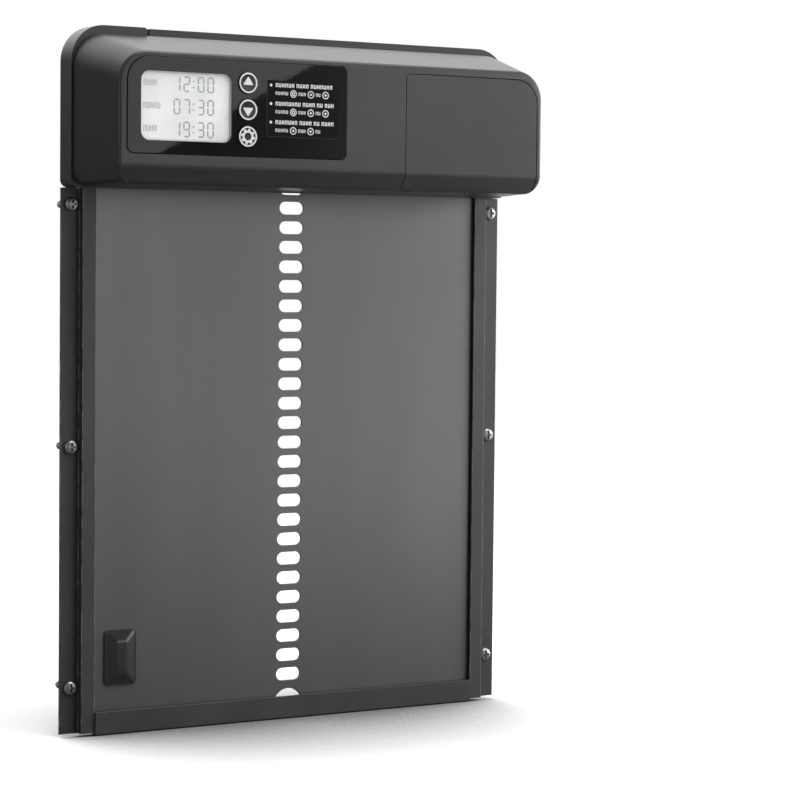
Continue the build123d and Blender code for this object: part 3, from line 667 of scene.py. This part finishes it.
def build_wall_screws():
    """Six pan-head screws with a cross in each head, and their threads."""
    low, high = span("wall_screws")
    x_out = high.x - screw_head_radius
    z_out = high.z - screw_head_radius
    flange = span("left_rail")[1].y - rail_sheet
    top = low.y
    heads, tools, threads = bmesh.new(), bmesh.new(), bmesh.new()
    for side in (-1, 1):
        for z in (-z_out, 0, z_out):
            centre = (side * x_out, z)
            lathe(heads, [(0, top), (1.6, top + 0.02), (2.6, top + 0.16), (3.3, top + 0.55),
                          (3.62, top + 1.05), (screw_head_radius, top + 1.5), (3.68, flange),
                          (1.7, flange), (1.7, 0.4), (0, 0.4)], centre)
            cross_tool(tools, centre, top, 1.7, 4.8, 1.25)
            threaded(threads, centre, 0.35, high.y, 1.55, 2.1, 1.6, 4.5)
    made = piece("frame_screws", heads, slots["steel_zinc"], "frame", ("wall_screws",))
    carve(made, tools)
    made.data.shade_smooth()
    made.data.set_sharp_from_angle(angle=math.radians(40))
    piece("frame_screw_threads", threads, slots["steel_zinc"], "frame")


# ---------------------------------------------------------------- CAD nodes that stay
default_edge = 0.08
edge_widths = {
    "left_rail": 0.3, "right_rail": 0.3, "sill": 0.3, "tie_plate": 0.2, "rear_shell": 0.35,
    "front_shell": 0.3, "battery_lid": 0.3, "battery_box": 0.25, "gearbox_case": 0.2,
    "gearbox_cover": 0.2, "display_window": 0.12,
    "lid_screw": 0.12, "casing_screws": 0.12, "circuit_board": 0.1, "board_components": 0.1,
    "button_switches": 0.1, "instruction_label": 0.04, "lcd_module": 0.1, "lid_seal": 0.2,
    "door_pinion": 0.25, "output_gear": 0.05, "motor_terminals": 0.05, "board_posts": 0.1,
}


clamped = ("rear_shell",)     # its rim has a notch finer than its edges


def dress(node, obj):
    """Gives a CAD node its material, merges its facets into whole faces and rounds its edges."""
    slot = obj.data.materials[0].name.split(".")[0]
    obj.data.materials.clear()
    # the rails take the coat whose pale edges are a painted highlight
    obj.data.materials.append(rail_coat_painted_highlight if node.endswith("_rail") else slots[slot])
    if "custom_normal" in obj.data.attributes:
        obj.data.attributes.remove(obj.data.attributes["custom_normal"])
    obj.data.shade_smooth()
    weld = obj.modifiers.new("weld", "WELD")
    weld.merge_threshold = 0.002 * MM
    flat = obj.modifiers.new("whole_faces", "DECIMATE")
    flat.decimate_type = "DISSOLVE"
    flat.angle_limit = math.radians(0.3)
    bevel(obj, edge_widths.get(node, default_edge), clamp=node in clamped)


build_door()
for grip_node in ("lower_grip", "upper_grip"):
    build_grip(grip_node)
build_panel()
for button_node, key_body, icon in (("up_button", "up_key", "up"), ("down_button", "down_key", "down"),
                                    ("set_button", "set_key", "cog")):
    build_button(button_node, key_body, icon)
build_display()
build_label()
build_wall_screws()
for node, obj in nodes.items():
    if not obj.hide_render:
        dress(node, obj)


# ---------------------------------------------------------------- floor, light and camera
floor_reach = 30.0
floor_gap = 0.0006        # between the object's foot and the floor


def build_floor():
    """A pale floor that fades into the background, with a painted shadow where it lies near the object,
    and throws back light mostly from the right.
    """
    low = cad_box[0].z - floor_gap
    reach = floor_reach
    mesh = bpy.data.meshes.new("floor")
    corners = [(-reach, -reach, low), (reach, -reach, low), (reach, reach, low), (-reach, reach, low)]
    mesh.from_pydata(corners, [], [(0, 1, 2, 3)])
    floor = bpy.data.objects.new("floor", mesh)
    bpy.context.scene.collection.objects.link(floor)
    made = Finish("pale_floor_painted_shadow", specular=0.0)
    # painted shadow: ambient occlusion near the object darkens the floor's colour and its glow
    shade = made.add("ShaderNodeAmbientOcclusion", {"Distance": 0.30}, samples=8)
    painted_shadow_openness = made.rescale(shade.outputs["AO"], (0.42, 0.85), (0, 1))
    made.colour(made.blend(painted_shadow_openness, grey(0.06), grey(0.80)))
    made.roughness(0.8)
    made.shader.inputs["Emission Color"].default_value = grey(1.0)
    made.feed(made.shader.inputs["Emission Strength"], made.times(painted_shadow_openness, 0.34))
    away = made.add("ShaderNodeVectorMath", {0: made.place}, operation="LENGTH").outputs["Value"]
    glow = made.add("ShaderNodeEmission", {"Color": grey(1.0), "Strength": 1.0})
    faded = made.add("ShaderNodeMixShader", {0: made.rescale(away, (0.7, 2.4), (0.0, 1.0))})
    made.feed(faded.inputs[1], made.shader.outputs[0])
    made.feed(faded.inputs[2], glow.outputs[0])
    across = made.add("ShaderNodeSeparateXYZ", {"Vector": made.place}).outputs["X"]
    bright = made.times(made.rescale(across, (0.38, 0.58), (0, 1)),
                        made.rescale(across, (0.9, 1.4), (1.3, 0)))
    dim = made.add("ShaderNodeAddShader")
    made.feed(dim.inputs[0], made.add("ShaderNodeBsdfDiffuse", {"Color": grey(0.14)}).outputs[0])
    patch = made.add("ShaderNodeEmission", {"Color": grey(1.0), "Strength": bright})
    made.feed(dim.inputs[1], patch.outputs[0])
    seen = made.add("ShaderNodeLightPath").outputs["Is Camera Ray"]
    both = made.add("ShaderNodeMixShader", {0: seen})
    made.feed(both.inputs[1], dim.outputs[0])
    made.feed(both.inputs[2], faded.outputs[0])
    made.feed(made.tree.nodes["Material Output"].inputs["Surface"], both.outputs[0])
    mesh.materials.append(made.material)


def build_world():
    """A studio seen white, whose light comes from above and behind, the right and the back left."""
    world = bpy.data.worlds.new("studio")
    bpy.context.scene.world = world
    world.use_nodes = True
    tree = world.node_tree
    back = tree.nodes["Background"]
    direction = tree.nodes.new("ShaderNodeTexCoord").outputs["Generated"]
    total = None
    for axis, reach, strength in sky_lobes:
        aim = tree.nodes.new("ShaderNodeVectorMath")
        aim.operation = "DOT_PRODUCT"
        aim.inputs[1].default_value = Vector(axis).normalized()
        tree.links.new(direction, aim.inputs[0])
        level = tree.nodes.new("ShaderNodeMapRange")
        level.interpolation_type = "SMOOTHSTEP"
        limits = {"From Min": reach[0], "From Max": reach[1], "To Min": 0.0, "To Max": strength}
        for key, value in limits.items():
            level.inputs[key].default_value = value
        tree.links.new(aim.outputs["Value"], level.inputs["Value"])
        summed = tree.nodes.new("ShaderNodeMath")
        summed.inputs[1].default_value = sky_floor
        tree.links.new(level.outputs["Result"], summed.inputs[0])
        if total:
            tree.links.new(total, summed.inputs[1])
        total = summed.outputs[0]
    tree.links.new(total, back.inputs["Strength"])
    back.inputs["Color"].default_value = grey(1.0)
    seen = tree.nodes.new("ShaderNodeBackground")
    seen.inputs["Color"].default_value = grey(1.0)
    path = tree.nodes.new("ShaderNodeLightPath")
    choose = tree.nodes.new("ShaderNodeMixShader")
    tree.links.new(path.outputs["Is Camera Ray"], choose.inputs[0])
    tree.links.new(back.outputs[0], choose.inputs[1])
    tree.links.new(seen.outputs[0], choose.inputs[2])
    tree.links.new(choose.outputs[0], tree.nodes["World Output"].inputs["Surface"])


def lamp(name, place, target, size, brightness, edge=(0, 0, 1)):
    """A soft rectangular lamp whose height runs along edge; brightness is the radiance of its face."""
    data = bpy.data.lights.new(name, "AREA")
    data.shape = "RECTANGLE"
    data.size, data.size_y = size
    data.energy = brightness * math.pi * size[0] * size[1]
    obj = bpy.data.objects.new(name, data)
    bpy.context.scene.collection.objects.link(obj)
    away = (Vector(place) - Vector(target)).normalized()
    across = Vector(edge).cross(away).normalized()
    turned = Matrix((across, away.cross(across), away)).transposed().to_4x4()
    obj.matrix_world = Matrix.Translation(place) @ turned


sky_floor = 0.04
# each lobe is (direction, the cosines it fades between, strength)
sky_lobes = (
    ((0.20, 0.60, 0.77), (0.50, 0.97), 2.1),
    ((0.93, -0.36, -0.08), (0.72, 1.0), 3.4),
    ((-0.55, 0.55, 0.62), (0.80, 1.0), 0.6),
)
camera_place = (-0.70506, -1.25552, 0.09580)
camera_yaw, camera_pitch, camera_roll = 31.749, -2.910, 0.574   # degrees; yaw is from +Y towards +X
camera_lens = 119.4       # on a 36 mm sensor


def build_camera():
    yaw, pitch, roll = (math.radians(a) for a in (camera_yaw, camera_pitch, camera_roll))
    forward = Vector((math.sin(yaw) * math.cos(pitch), math.cos(yaw) * math.cos(pitch), math.sin(pitch)))
    level = Vector((math.cos(yaw), -math.sin(yaw), 0))
    upward = level.cross(forward)
    right = level * math.cos(roll) + upward * math.sin(roll)
    top = upward * math.cos(roll) - level * math.sin(roll)
    data = bpy.data.cameras.new("camera")
    data.lens = camera_lens
    data.sensor_width = 36.0
    camera = bpy.data.objects.new("camera", data)
    bpy.context.scene.collection.objects.link(camera)
    turned = Matrix((right, top, -forward)).transposed().to_4x4()
    camera.matrix_world = Matrix.Translation(camera_place) @ turned
    bpy.context.scene.camera = camera


build_floor()
build_world()
lamp("key", (0.7, -1.0, 1.9), (0, 0, 0), (0.8, 0.8), 14.0)
lamp("right_box", (1.25, -0.52, 0.14), (0, 0, 0.0), (0.5, 0.9), 7.0)
lamp("left_strip", (-1.1, -0.50, 0.25), (0, 0, 0.0), (0.06, 1.0), 12.0)
lamp("front_card", (0.865, -1.827, 0.453), (-0.1065, -0.083, 0.318), (1.5, 0.3), 1.8,
     edge=(-0.47, -0.195, 0.861))
build_camera()
bpy.context.scene.view_settings.view_transform = "Standard"
